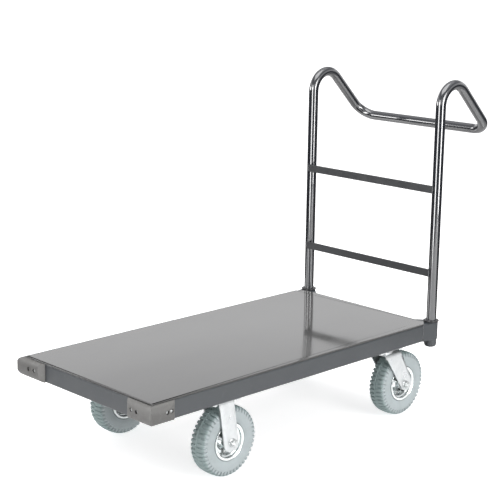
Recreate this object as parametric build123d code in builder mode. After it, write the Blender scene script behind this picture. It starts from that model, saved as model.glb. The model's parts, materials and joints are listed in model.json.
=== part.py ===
from build123d import *
from math import acos, atan2, cos, hypot, radians, sin
import os

os.makedirs("parts", exist_ok=True)

# Flatbed platform truck, in millimetres. +X points to the rear, where the push handle stands,
# +Z is up, and the truck is the same on both sides of the XZ plane. Left is -Y, as seen by
# the person who pushes it. The origin is on the floor, under the middle of the bounding box.

# ---------------------------------------------------------------- driving dimensions
# Deck and frame
deck_length = 1219.2
deck_width = 598.0
deck_height = 310.0
plate_thickness = 3.5
plate_overhang = 1.5
plate_edge = 1.4
channel_height = 58.0
channel_flange = 40.0
channel_thickness = 3.5
channel_bend = 4.5
corner_cut_x = 32.0
corner_cut_y = 24.0

# Cross members and stiffeners, measured from the front edge of the deck
front_axle_from_front = 326.0
rear_axle_from_front = 1125.0
crossmember_width = 130.0
crossmember_corner = 3.0
stiffener_positions = (520.0, 690.0, 860.0)
stiffener_width = 60.0
stiffener_height = 40.0
stiffener_brim = 15.0
stiffener_thickness = 2.5
stiffener_bend = 4.0

# Corner bumpers
bumper_bulge = 20.0
bumper_front_arm = 102.0
bumper_side_arm = 83.0
bumper_end_slope = 15.0
bumper_nose_radius = 9.0
bumper_nose_below_deck = 28.0
bumper_edge = 2.0
bumper_top_ledge = 5.0
bumper_flat_start = 0.45
bumper_taper_end = 0.2
bumper_bends = (8.0, 30.0)
bumper_gap = 0.3
bumper_seat = 12.0
bumper_front_screws = (43.5, 69.0)
bumper_side_screws = (42.0, 59.0)
screw_head_radius = 4.4
screw_head_height = 3.6
screw_radius = 2.4
screw_reach = 14.0
screw_clearance = 0.2
counterbore_radius = 6.2

# Handle and its sockets
tube_radius = 16.7
tube_wall = 2.6
post_behind = 26.3
post_inset = 14.9
handle_peak = 885.0
grip_height = 623.0
grip_reach = 266.0
top_bend = 68.0
grip_bend = 62.0
rung_heights = {"lower_rung": 167.0, "upper_rung": 450.0}
rung_height = 25.4
rung_thickness = 5.0
rung_cope = 1.2
rung_end_inset = 5.0
rung_edge = 0.8
sleeve_radius = 20.3
sleeve_bore = 17.3
sleeve_depth = 78.0
cap_height = 12.0
cap_flat_radius = 11.0
cap_straight = 3.0
tube_lift = 4.0
strap_thickness = 2.5
strap_rear_reach = 80.0
strap_weld_gap = 0.5
ring_radius = 26.0
ring_thickness = 3.0
ring_edge = 1.0

# Casters and wheels
wheel_radius = 109.0
wheel_inset = 59.0
swivel_offset = 75.0
front_offset = 20.0
front_rake = 9.0
rear_rake = 29.5
front_leg = {"front": 30.0, "rear": 27.0, "widening": 0.0, "edge": 12.0}
rear_leg = {"front": 18.0, "rear": 36.0, "widening": 0.092, "edge": 8.0}
front_crown = (-31.0, 28.0)
rear_crown = (-35.0, 42.0)
crown_drop = 14.0
leg_thickness = 4.0
leg_inner = 37.0
leg_joggle = 3.0
leg_bend = 6.0
crown_bend = 4.0
caster_plate_thickness = 5.0
rear_crown_below_plate = 14.0
race_gap = 3.2
race_clearance = 0.3
race_radii = (17.0, 36.0)
caster_plate_size = (114.0, 90.0)
caster_plate_corner = 8.0
caster_bolt_spacing = (92.0, 66.0)
caster_bolt_radius = 5.0
caster_hole_radius = 5.5
caster_bolt_flats = 16.0
caster_bolt_head = 6.4
caster_nut_height = 8.0
caster_bolt_end = 16.0
axle_radius = 7.5
axle_flats = 24.0
axle_head = 9.5
axle_nut = 12.0
axle_flange_radius = 14.0
axle_flange = 2.5
axle_end = 14.5
spacer_radius = 9.0
bearing_radius = 17.5
bearing_width = 11.0
bearing_outer_face = 27.5
running_gap = 0.05
through = 40.0
body_gap = 0.3
ball_radius = 4.0
ball_count = 16
ball_pitch_radius = 26.0
king_pin_radius = 6.5
king_head_radius = 11.0
king_head_height = 6.0
rim_sheet = 2.0
rim_bend = 2.2
rim_flange = (27.5, 58.0)
rim_bead_seat = ((27.5, 51.5), (20.5, 50.8))
rim_well = ((18.0, 45.5), (0.0, 45.5))
rim_web_radius = 30.0
hub_cup_lead = 4.0
hub_cup_lip = 0.5
tyre_shoulder = ((22.0, 107.5), (28.5, 102.0))
tyre_wall = ((31.5, 86.0), (31.5, 70.0))
tyre_bead = ((27.3, 58.5), (27.3, 51.8), (20.7, 51.2))
tyre_lining = ((22.3, 60.0), (25.0, 70.0), (25.0, 84.0), (21.5, 97.5))
tyre_crown_inside = 101.5
tyre_corner = 1.5
inner_tube_radius = 24.5
inner_tube_centre = 76.0
inner_tube_wall = 2.5
valve_radius = 4.2
valve_span = (33.0, 56.5)
valve_offset = 12.0
valve_angle = -50.0

# ---------------------------------------------------------------- derived places
rear_overhang = post_behind + grip_reach + tube_radius
x_front = -(bumper_bulge + deck_length + rear_overhang) / 2 + bumper_bulge
x_rear = x_front + deck_length
y_side = deck_width / 2
z_frame = deck_height - plate_thickness - channel_height
z_plate = deck_height - plate_thickness
y_web = y_side - plate_overhang
x_web_front = x_front + plate_overhang
x_web_rear = x_rear - plate_overhang
y_flange = y_web - channel_flange
x_post = x_rear + post_behind
y_post = y_side - post_inset
x_front_axle = x_front + front_axle_from_front
x_front_caster = x_front_axle - front_offset
x_rear_axle = x_front + rear_axle_from_front
x_king_pin = x_rear_axle - swivel_offset
y_wheel = y_side - wheel_inset
z_nose = deck_height - bumper_nose_below_deck
z_socket = deck_height - sleeve_depth
sides = {"left": -1, "right": 1}


def save(piece, name):
    """Label a finished piece and write its STEP file."""
    piece.part.label = name
    export_step(piece.part, f"parts/{name}.step")


def save_mirrored(piece, name):
    """Write the right-hand copy of a left-hand piece."""
    with BuildPart() as copy:
        mirror(piece.part, about=Plane.XZ)
    save(copy, name)


def channel_section(height, flange, thickness, bend):
    """C section with its web on the local Y axis and its flanges towards +X."""
    with BuildSketch() as section:
        with BuildLine():
            FilletPolyline((flange, 0), (0, 0), (0, height), (flange, height), radius=bend)
            offset(amount=thickness, side=Side.RIGHT)
        make_face()
    return section.sketch


# ---------------------------------------------------------------- deck plate
with BuildPart() as deck_plate:
    with BuildSketch(Plane.XY.offset(z_plate)):
        with BuildLine():
            Polyline(
                (x_front, -y_side),
                (x_rear - corner_cut_x, -y_side),
                (x_rear, -y_side + corner_cut_y),
                (x_rear, y_side - corner_cut_y),
                (x_rear - corner_cut_x, y_side),
                (x_front, y_side),
                close=True,
            )
        make_face()
    extrude(amount=plate_thickness)
    fillet(deck_plate.edges().group_by(Axis.Z)[-1], radius=plate_edge)
save(deck_plate, "deck_plate")

# ---------------------------------------------------------------- perimeter channels
# The front channel's web covers both corners, and its flanges are coped back to the side
# channels. The side channels stop short of the handle sockets.
with BuildPart() as front_channel:
    with BuildSketch(Plane(origin=(x_web_front, -y_web, z_frame), x_dir=(1, 0, 0), z_dir=(0, -1, 0))):
        add(channel_section(channel_height, channel_flange, channel_thickness, channel_bend))
    extrude(amount=-2 * y_web)
    with BuildSketch(Plane.XY.offset(z_frame)):
        with Locations((x_web_front + channel_thickness, 0)):
            for y in (-y_web, y_web):
                with Locations((channel_flange / 2, y)):
                    Rectangle(channel_flange, 2 * channel_flange)
    extrude(amount=channel_height, mode=Mode.SUBTRACT)
    with BuildSketch(Plane(origin=(x_web_front, 0, z_nose), x_dir=(0, 1, 0), z_dir=(1, 0, 0))):
        for distance in bumper_front_screws:
            with GridLocations(2 * (y_side - distance), 1, 2, 1):
                Circle(screw_radius)
    extrude(amount=channel_thickness, mode=Mode.SUBTRACT)
save(front_channel, "front_channel")

with BuildPart() as rear_channel:
    with BuildSketch(Plane(origin=(x_web_rear, y_flange, z_frame), x_dir=(-1, 0, 0), z_dir=(0, 1, 0))):
        add(channel_section(channel_height, channel_flange, channel_thickness, channel_bend))
    extrude(amount=-2 * y_flange)
save(rear_channel, "rear_channel")

side_start = x_web_front + channel_thickness
side_end = x_rear - corner_cut_x
with BuildPart() as left_side_channel:
    with BuildSketch(Plane(origin=(side_start, -y_web, z_frame), x_dir=(0, 1, 0), z_dir=(1, 0, 0))):
        add(channel_section(channel_height, channel_flange, channel_thickness, channel_bend))
    extrude(amount=side_end - side_start)
    with BuildSketch(Plane.XY.offset(z_frame)):
        for x in (x_front_caster, x_king_pin):
            with Locations((x, -y_wheel - caster_bolt_spacing[1] / 2)):
                with GridLocations(caster_bolt_spacing[0], 1, 2, 1):
                    Circle(caster_hole_radius)
    extrude(amount=channel_thickness, mode=Mode.SUBTRACT)
    with BuildSketch(Plane(origin=(x_front, -y_web, z_nose), x_dir=(1, 0, 0), z_dir=(0, -1, 0))):
        for distance in bumper_side_screws:
            with Locations((distance, 0)):
                Circle(screw_radius)
    extrude(amount=-channel_thickness, mode=Mode.SUBTRACT)
save(left_side_channel, "left_side_channel")
save_mirrored(left_side_channel, "right_side_channel")

# ---------------------------------------------------------------- caster cross members
# Troughs between the side channels. The casters bolt to their floors and to the side
# channels' lower flanges.
crossmember_places = {"front_crossmember": x_front_caster, "rear_crossmember": x_king_pin}
for name, x in crossmember_places.items():
    with BuildPart() as crossmember:
        with BuildSketch(Plane(origin=(x, -y_flange, z_frame), x_dir=(1, 0, 0), z_dir=(0, -1, 0))):
            with Locations((0, channel_height / 2)):
                Rectangle(crossmember_width, channel_height)
            with Locations((0, channel_height / 2 + channel_thickness)):
                Rectangle(crossmember_width - 2 * channel_thickness, channel_height, mode=Mode.SUBTRACT)
        extrude(amount=-2 * y_flange)
        fillet(crossmember.edges().filter_by(Axis.Y).group_by(Axis.Z)[0], radius=crossmember_corner)
        with BuildSketch(Plane.XY.offset(z_frame)):
            for side in sides.values():
                with Locations((x, side * (y_wheel - caster_bolt_spacing[1] / 2))):
                    with GridLocations(caster_bolt_spacing[0], 1, 2, 1):
                        Circle(caster_hole_radius)
        extrude(amount=channel_thickness, mode=Mode.SUBTRACT)
    save(crossmember, name)

# ---------------------------------------------------------------- deck stiffeners
# Three hat sections across the deck, crowns down, brims against the plate.
hat_half = stiffener_width / 2 - stiffener_brim
with BuildPart() as deck_stiffeners:
    for position in stiffener_positions:
        x = x_front + position
        hat_plane = Plane(origin=(x, -y_flange, z_plate), x_dir=(1, 0, 0), z_dir=(0, -1, 0))
        with BuildSketch(hat_plane):
            with BuildLine():
                FilletPolyline(
                    (-stiffener_width / 2, 0),
                    (-hat_half, 0),
                    (-hat_half, -stiffener_height),
                    (hat_half, -stiffener_height),
                    (hat_half, 0),
                    (stiffener_width / 2, 0),
                    radius=stiffener_bend,
                )
                offset(amount=stiffener_thickness, side=Side.RIGHT)
            make_face()
        extrude(amount=-2 * y_flange)
save(deck_stiffeners, "deck_stiffeners")

# ---------------------------------------------------------------- corner bumpers
# A bullnose moulding wraps each front corner. Its plan outline and the two rounded sections
# that run along the front and the side are cut against each other, so its top and bottom
# edges meet the deck's square corner and its middle bulges round it.
bumper_low = z_frame + bumper_gap
bumper_high = z_plate - bumper_gap
nose_deep = bumper_bulge - bumper_edge + plate_overhang


def bullnose(reach):
    """Rounded section, bulging towards local +X from the deck's edge plane at X = 0."""
    lip = bumper_edge - plate_overhang
    ledge = lip + bumper_top_ledge
    with BuildSketch() as section:
        with BuildLine():
            Polyline((ledge, bumper_high), (-reach, bumper_high), (-reach, bumper_low), (lip, bumper_low))
            EllipticalCenterArc((lip, z_nose), nose_deep, z_nose - bumper_low, 270, arc_size=90)
            EllipticalCenterArc(
                (ledge, z_nose),
                nose_deep - bumper_top_ledge,
                bumper_high - z_nose,
                0,
                arc_size=90,
            )
        make_face()
    return section.sketch


def screw_planes(side):
    """Screw seats of one bumper, each facing out of it."""
    front = [
        Plane(origin=(x_front - bumper_seat, side * (y_side - distance), z_nose), z_dir=(-1, 0, 0))
        for distance in bumper_front_screws
    ]
    flank = [
        Plane(origin=(x_front + distance, side * (y_side + bumper_seat), z_nose), z_dir=(0, side, 0))
        for distance in bumper_side_screws
    ]
    return front + flank


bumper_back = plate_overhang - bumper_edge
bumper_taper = (bumper_taper_end - 1) * bumper_bulge
with BuildPart() as left_corner_bumper:
    with BuildSketch(Plane(origin=(x_front, -y_side, bumper_low))):
        with BuildLine():
            FilletPolyline(
                (bumper_back, bumper_front_arm),
                (bumper_taper, bumper_front_arm - bumper_end_slope),
                (-bumper_bulge, bumper_flat_start * bumper_front_arm),
                (-bumper_bulge, -bumper_bulge),
                (bumper_flat_start * bumper_side_arm, -bumper_bulge),
                (bumper_side_arm - bumper_end_slope, bumper_taper),
                (bumper_side_arm, bumper_back),
                radius=(*bumper_bends, bumper_nose_radius, *bumper_bends[::-1]),
            )
            Polyline(
                (bumper_side_arm, bumper_back),
                (bumper_side_arm, plate_overhang),
                (plate_overhang, plate_overhang),
                (plate_overhang, bumper_front_arm),
                (bumper_back, bumper_front_arm),
            )
        make_face()
    extrude(amount=bumper_high - bumper_low)
    with BuildSketch(Plane(origin=(x_front, 0, 0), x_dir=(-1, 0, 0), z_dir=(0, 1, 0))):
        add(bullnose(2 * bumper_front_arm))
    extrude(amount=deck_width, both=True, mode=Mode.INTERSECT)
    with BuildSketch(Plane(origin=(x_front, -y_side, 0), x_dir=(0, -1, 0), z_dir=(-1, 0, 0))):
        add(bullnose(2 * bumper_front_arm))
    extrude(amount=2 * bumper_front_arm, both=True, mode=Mode.INTERSECT)
    with Locations(*screw_planes(sides["left"])):
        Hole(screw_radius + screw_clearance, 2 * bumper_seat)
        Cylinder(
            counterbore_radius,
            bumper_bulge,
            align=(Align.CENTER, Align.CENTER, Align.MIN),
            mode=Mode.SUBTRACT,
        )
save(left_corner_bumper, "left_corner_bumper")
save_mirrored(left_corner_bumper, "right_corner_bumper")

with BuildPart() as bumper_screws:
    with Locations(*screw_planes(sides["left"]), *screw_planes(sides["right"])):
        Cylinder(screw_head_radius, screw_head_height, align=(Align.CENTER, Align.CENTER, Align.MIN))
        Cylinder(
            screw_radius - running_gap,
            bumper_seat + screw_reach,
            align=(Align.CENTER, Align.CENTER, Align.MAX),
        )
save(bumper_screws, "bumper_screws")

# ---------------------------------------------------------------- handle sockets
with BuildPart() as socket_sleeves:
    with BuildSketch(Plane.XY.offset(z_socket)):
        with Locations((x_post, -y_post), (x_post, y_post)):
            Circle(sleeve_radius)
            Circle(sleeve_bore, mode=Mode.SUBTRACT)
    extrude(amount=sleeve_depth)
save(socket_sleeves, "socket_sleeves")

with BuildPart() as socket_caps:
    for side in sides.values():
        cap_plane = Plane(origin=(x_post, side * y_post, z_socket), x_dir=(1, 0, 0), z_dir=(0, -1, 0))
        with BuildSketch(cap_plane):
            with BuildLine():
                Polyline((0, -cap_height), (0, 0), (sleeve_radius, 0), (sleeve_radius, -cap_straight))
                Spline(
                    (sleeve_radius, -cap_straight),
                    (cap_flat_radius, -cap_height),
                    tangents=((0, -1), (-1, -0.1)),
                )
                Line((cap_flat_radius, -cap_height), (0, -cap_height))
            make_face()
        revolve(axis=Axis((x_post, side * y_post, 0), (0, 0, 1)))
save(socket_caps, "socket_caps")


def tangent_point(point, centre, radius, turn):
    """Where the line from a point outside touches a circle, on the side that turn says."""
    dx, dy = point[0] - centre[0], point[1] - centre[1]
    angle = atan2(dy, dx) + turn * acos(radius / hypot(dx, dy))
    return (centre[0] + radius * cos(angle), centre[1] + radius * sin(angle)), angle


# The strap butts against the end of the side channel, wraps the sleeve and slopes back to
# the rear channel's face.
strap_radius = sleeve_radius + running_gap
strap_side_end = (side_end + strap_weld_gap, -y_web + channel_thickness)
strap_rear_end = (x_web_rear - strap_thickness, -y_side + strap_rear_reach)
post_centre = (x_post, -y_post)
side_touch, side_angle = tangent_point(strap_side_end, post_centre, strap_radius, 1)
rear_touch, rear_angle = tangent_point(strap_rear_end, post_centre, strap_radius, -1)
middle_angle = (side_angle % radians(360) + rear_angle % radians(360) + radians(360)) / 2
strap_middle = (
    x_post + strap_radius * cos(middle_angle),
    -y_post + strap_radius * sin(middle_angle),
)
with BuildPart() as left_socket_strap:
    with BuildSketch(Plane.XY.offset(z_frame)):
        with BuildLine():
            Line(strap_side_end, side_touch)
            ThreePointArc(side_touch, strap_middle, rear_touch)
            Line(rear_touch, strap_rear_end)
            offset(amount=strap_thickness, side=Side.RIGHT)
        make_face()
        with Locations((x_web_rear - channel_flange / 2, strap_rear_end[1])):
            Rectangle(channel_flange, channel_flange, mode=Mode.SUBTRACT)
    extrude(amount=channel_height)
save(left_socket_strap, "left_socket_strap")
save_mirrored(left_socket_strap, "right_socket_strap")

with BuildPart() as corner_gussets:
    with BuildSketch(Plane.XY.offset(z_plate - channel_thickness)):
        with BuildLine():
            Line(strap_side_end, side_touch)
            ThreePointArc(side_touch, strap_middle, rear_touch)
            Line(rear_touch, strap_rear_end)
            Line(strap_rear_end, strap_side_end)
        make_face()
        with Locations((x_web_rear - channel_flange, -y_flange + channel_flange)):
            Rectangle(2 * channel_flange, 2 * channel_flange, mode=Mode.SUBTRACT)
        with Locations(post_centre):
            Circle(sleeve_radius, mode=Mode.SUBTRACT)
    extrude(amount=channel_thickness)
    mirror(about=Plane.XZ)
save(corner_gussets, "corner_gussets")

# ---------------------------------------------------------------- push handle
# One bent tube: up from the left socket, over the top bend, down to the grip, across, and
# back the same way.
z_tube = z_socket + tube_lift
x_grip = x_post + grip_reach
z_peak = deck_height + handle_peak
z_grip = deck_height + grip_height
with BuildPart() as handle_tube:
    with BuildLine():
        FilletPolyline(
            (x_post, -y_post, z_tube),
            (x_post, -y_post, z_peak),
            (x_grip, -y_post, z_grip),
            (x_grip, y_post, z_grip),
            (x_post, y_post, z_peak),
            (x_post, y_post, z_tube),
            radius=(top_bend, grip_bend, grip_bend, top_bend),
        )
    with BuildSketch(Plane(origin=(x_post, -y_post, z_tube))):
        Circle(tube_radius)
        Circle(tube_radius - tube_wall, mode=Mode.SUBTRACT)
    sweep()
save(handle_tube, "handle_tube")

with BuildPart() as handle_rings:
    with BuildSketch(Plane.XY.offset(deck_height)):
        with Locations((x_post, -y_post), (x_post, y_post)):
            Circle(ring_radius)
            Circle(tube_radius + running_gap, mode=Mode.SUBTRACT)
    extrude(amount=ring_thickness)
    fillet(handle_rings.edges().group_by(Axis.Z)[-1].sort_by(SortBy.RADIUS)[-2:], radius=ring_edge)
save(handle_rings, "handle_rings")

# The rungs are flat bars, coped to the front of both posts.
x_rung = x_post - tube_radius + rung_cope
for name, height in rung_heights.items():
    with BuildPart() as rung:
        with BuildSketch(Plane.XY.offset(deck_height + height - rung_height / 2)):
            with Locations((x_rung - rung_thickness / 2, 0)):
                Rectangle(rung_thickness, 2 * (y_post - rung_end_inset))
            with Locations((x_post, -y_post), (x_post, y_post)):
                Circle(tube_radius + running_gap, mode=Mode.SUBTRACT)
        extrude(amount=rung_height)
        fillet(rung.faces().sort_by(Axis.X)[0].edges().filter_by(Axis.Y), radius=rung_edge)
    save(rung, name)

# ---------------------------------------------------------------- caster fasteners
bolt_places = [
    (x + dx * caster_bolt_spacing[0] / 2, side * y_wheel + dy * caster_bolt_spacing[1] / 2)
    for x in (x_front_caster, x_king_pin)
    for side in sides.values()
    for dx in (-1, 1)
    for dy in (-1, 1)
]
z_caster_plate = z_frame - caster_plate_thickness
with BuildPart() as caster_bolts:
    with BuildSketch(Plane.XY.offset(z_caster_plate)):
        with Locations(*bolt_places):
            RegularPolygon(caster_bolt_flats / 2, 6, major_radius=False)
    extrude(amount=-caster_bolt_head)
    with BuildSketch(Plane.XY.offset(z_caster_plate)):
        with Locations(*bolt_places):
            Circle(caster_bolt_radius - running_gap)
    extrude(amount=caster_plate_thickness + caster_bolt_end)
save(caster_bolts, "caster_bolts")

with BuildPart() as caster_nuts:
    with BuildSketch(Plane.XY.offset(z_frame + channel_thickness)):
        with Locations(*bolt_places):
            RegularPolygon(caster_bolt_flats / 2, 6, major_radius=False)
            Circle(caster_bolt_radius, mode=Mode.SUBTRACT)
    extrude(amount=caster_nut_height)
save(caster_nuts, "caster_nuts")

# ---------------------------------------------------------------- caster forks


def leg_section(front, rear, edge):
    """Both legs' sheet, local X across the legs. The edges slope in towards the tyre."""
    with BuildSketch() as section:
        with BuildLine():
            FilletPolyline(
                (-front, leg_inner - leg_joggle),
                (edge - front, leg_inner),
                (rear - edge, leg_inner),
                (rear, leg_inner - leg_joggle),
                radius=leg_bend,
            )
            offset(amount=leg_thickness, side=Side.LEFT)
        make_face()
    return section.sketch


def fork(axle, rake, leg, crown, z_crown):
    """Bent-sheet fork: two raked legs with round ends, joined by a crown with its top at z_crown."""
    tilt = radians(rake)
    along = Vector(-sin(tilt), 0, cos(tilt))
    across = Vector(cos(tilt), 0, sin(tilt))
    height = 2 * (z_crown - axle.Z)
    toe_radius = (leg["front"] + leg["rear"]) / 2
    front_high = leg["front"] + leg["widening"] * height
    front_low = leg["front"] - leg["widening"] * 2 * toe_radius
    levels = {-2 * toe_radius: front_low, height: front_high}
    with BuildPart() as piece:
        for level, front in levels.items():
            with BuildSketch(Plane(origin=axle + along * level, x_dir=across, z_dir=along)):
                add(leg_section(front, leg["rear"], leg["edge"]))
        loft(ruled=True)
        mirror(about=Plane(origin=axle, z_dir=(0, 1, 0)))
        with BuildSketch(Plane(origin=axle, x_dir=across, z_dir=across.cross(along))):
            with Locations(((leg["rear"] - leg["front"]) / 2, 0)):
                Circle(toe_radius)
            with BuildLine():
                Polyline(
                    (-leg["front"], 0),
                    (leg["rear"], 0),
                    (leg["rear"], height),
                    (-front_high, height),
                    close=True,
                )
            make_face()
        extrude(amount=2 * leg_inner, both=True, mode=Mode.INTERSECT)
        with BuildSketch(Plane.XY.offset(z_crown - crown_drop / 2)):
            with Locations((axle.X, axle.Y)):
                Rectangle(4 * wheel_radius, 4 * leg_inner)
        extrude(amount=height, mode=Mode.SUBTRACT)
        x_middle = axle.X - (z_crown - axle.Z) * sin(tilt) / cos(tilt)
        crown_start = (x_middle + crown[0], axle.Y, z_crown)
        with BuildSketch(Plane(origin=crown_start, x_dir=(0, 1, 0), z_dir=(1, 0, 0))):
            with BuildLine():
                FilletPolyline(
                    (-leg_inner, -crown_drop),
                    (-leg_inner, -leg_thickness),
                    (leg_inner, -leg_thickness),
                    (leg_inner, -crown_drop),
                    radius=crown_bend,
                )
                offset(amount=leg_thickness, side=Side.LEFT)
            make_face()
        extrude(amount=crown[1] - crown[0])
        with Locations(Plane(origin=axle, z_dir=(0, 1, 0))):
            Hole(axle_radius + running_gap, 4 * leg_inner)
    return piece.part


for label, side in sides.items():
    centre = Vector(x_front_axle, side * y_wheel, wheel_radius)
    with BuildPart() as front_fork:
        add(fork(centre, front_rake, front_leg, front_crown, z_caster_plate))
        with BuildSketch(Plane(origin=(x_front_caster, side * y_wheel, z_caster_plate))):
            RectangleRounded(*caster_plate_size, radius=caster_plate_corner)
            with GridLocations(*caster_bolt_spacing, 2, 2):
                Circle(caster_hole_radius, mode=Mode.SUBTRACT)
        extrude(amount=caster_plate_thickness)
    save(front_fork, f"{label}_front_fork")

z_crown = z_caster_plate - rear_crown_below_plate
z_balls = (z_caster_plate + z_crown) / 2 + race_clearance
race_height = (z_caster_plate - z_crown - race_gap) / 2


def race_groove(x, y):
    """Ring-shaped groove that the swivel balls run in."""
    with BuildPart() as groove:
        with BuildSketch(Plane(origin=(x, y, z_balls), x_dir=(1, 0, 0), z_dir=(0, -1, 0))):
            with Locations((ball_pitch_radius, 0)):
                Circle(ball_radius + race_clearance)
        revolve(axis=Axis((x, y, 0), (0, 0, 1)))
    return groove.part


for label, side in sides.items():
    y = side * y_wheel

    with BuildPart() as swivel_plate:
        with BuildSketch(Plane(origin=(x_king_pin, y, z_caster_plate))):
            RectangleRounded(*caster_plate_size, radius=caster_plate_corner)
            with GridLocations(*caster_bolt_spacing, 2, 2):
                Circle(caster_hole_radius, mode=Mode.SUBTRACT)
        extrude(amount=caster_plate_thickness)
        with BuildSketch(Plane(origin=(x_king_pin, y, z_caster_plate))):
            Circle(race_radii[1])
        extrude(amount=-race_height)
        add(race_groove(x_king_pin, y), mode=Mode.SUBTRACT)
        with Locations((x_king_pin, y, z_frame)):
            CounterSinkHole(king_pin_radius + running_gap, king_head_radius + running_gap, through)
    save(swivel_plate, f"{label}_swivel_plate")

    with BuildPart() as rear_fork:
        add(fork(Vector(x_rear_axle, y, wheel_radius), rear_rake, rear_leg, rear_crown, z_crown))
        with BuildSketch(Plane(origin=(x_king_pin, y, z_crown - leg_thickness))):
            Circle(race_radii[1] - leg_joggle)
        extrude(amount=leg_thickness + race_height)
        add(race_groove(x_king_pin, y), mode=Mode.SUBTRACT)
        with Locations((x_king_pin, y, z_caster_plate)):
            Hole(king_pin_radius + running_gap, through)
    save(rear_fork, f"{label}_rear_fork")

    with BuildPart() as swivel_balls:
        with Locations((x_king_pin, y, z_balls)):
            with PolarLocations(ball_pitch_radius, ball_count):
                Sphere(ball_radius)
    save(swivel_balls, f"{label}_swivel_balls")

# The king pins are rivets: a countersunk head in the top plate and a round head under the crown.
king_tail = z_crown - leg_thickness - body_gap
with BuildPart() as king_pins:
    for side in sides.values():
        king_plane = Plane(origin=(x_king_pin, side * y_wheel, 0), x_dir=(1, 0, 0), z_dir=(0, -1, 0))
        with BuildSketch(king_plane):
            with BuildLine():
                Polyline(
                    (0, king_tail - king_head_height),
                    (0, z_frame - running_gap),
                    (king_head_radius - running_gap, z_frame - running_gap),
                    (king_pin_radius, z_frame - running_gap - king_head_radius + king_pin_radius),
                    (king_pin_radius, king_tail),
                    (king_head_radius, king_tail),
                )
                EllipticalCenterArc((0, king_tail), king_head_radius, king_head_height, 270, arc_size=90)
            make_face()
        revolve(axis=Axis((x_king_pin, side * y_wheel, 0), (0, 0, 1)))
save(king_pins, "king_pins")

# ---------------------------------------------------------------- axles
leg_outer = leg_inner + leg_thickness
axle_groups = {
    "front": [(x_front_axle, side) for side in sides.values()],
    "left_rear": [(x_rear_axle, sides["left"])],
    "right_rear": [(x_rear_axle, sides["right"])],
}
for label, places in axle_groups.items():
    with BuildPart() as axle_bolts:
        for x, side in places:
            inboard_face = (x, side * (y_wheel - leg_outer), wheel_radius)
            inboard = Plane(origin=inboard_face, x_dir=(1, 0, 0), z_dir=(0, side, 0))
            with BuildSketch(inboard):
                RegularPolygon(axle_flats / 2, 6, major_radius=False)
            extrude(amount=-axle_head)
            with BuildSketch(inboard):
                Circle(axle_radius)
            extrude(amount=2 * leg_outer + axle_end)
    save(axle_bolts, f"{label}_axle_bolts" if len(places) > 1 else f"{label}_axle_bolt")

    with BuildPart() as axle_nuts:
        for x, side in places:
            outboard_face = (x, side * (y_wheel + leg_outer), wheel_radius)
            outboard = Plane(origin=outboard_face, x_dir=(1, 0, 0), z_dir=(0, side, 0))
            with BuildSketch(outboard):
                Circle(axle_flange_radius)
                Circle(axle_radius, mode=Mode.SUBTRACT)
            extrude(amount=axle_flange)
            with BuildSketch(outboard):
                RegularPolygon(axle_flats / 2, 6, major_radius=False)
                Circle(axle_radius, mode=Mode.SUBTRACT)
            extrude(amount=axle_nut)
    save(axle_nuts, f"{label}_axle_nuts" if len(places) > 1 else f"{label}_axle_nut")

    with BuildPart() as axle_spacers:
        for x, side in places:
            for end in (-1, 1):
                inner_face = (x, side * y_wheel + end * (bearing_outer_face + body_gap), wheel_radius)
                with BuildSketch(Plane(origin=inner_face, x_dir=(1, 0, 0), z_dir=(0, end, 0))):
                    Circle(spacer_radius)
                    Circle(axle_radius, mode=Mode.SUBTRACT)
                extrude(amount=leg_inner - bearing_outer_face - body_gap)
    save(axle_spacers, f"{label}_axle_spacers")

# ---------------------------------------------------------------- wheels
# Each wheel is two pressed rim halves back to back, a ball bearing in each half's hub cup, an
# inner tube with its valve, and a pneumatic tyre. Sections are drawn with local X along the
# axle, away from the truck, and local Y as the radius.


def tyre_section():
    """Tyre wall from bead to bead."""
    with BuildSketch() as section:
        with BuildLine():
            Polyline(
                (0, wheel_radius),
                *tyre_shoulder,
                *tyre_wall,
                *tyre_bead,
                *tyre_lining,
                (0, tyre_crown_inside),
                (0, wheel_radius),
            )
        make_face()
        fillet(section.vertices().sort_by(Axis.X)[-10:], radius=tyre_corner)
        mirror(about=Plane.YZ)
    return section.sketch


def rim_section():
    """Pressed sheet: flange, bead seat, well, flat web, cone and hub cup."""
    with BuildSketch() as section:
        with BuildLine():
            FilletPolyline(
                rim_flange,
                *rim_bead_seat,
                *rim_well,
                (0, rim_web_radius),
                (bearing_outer_face - bearing_width - hub_cup_lead, bearing_radius),
                (bearing_outer_face + hub_cup_lip, bearing_radius),
                radius=rim_bend,
            )
            offset(amount=rim_sheet, side=Side.RIGHT)
        make_face()
    return section.sketch


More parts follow.
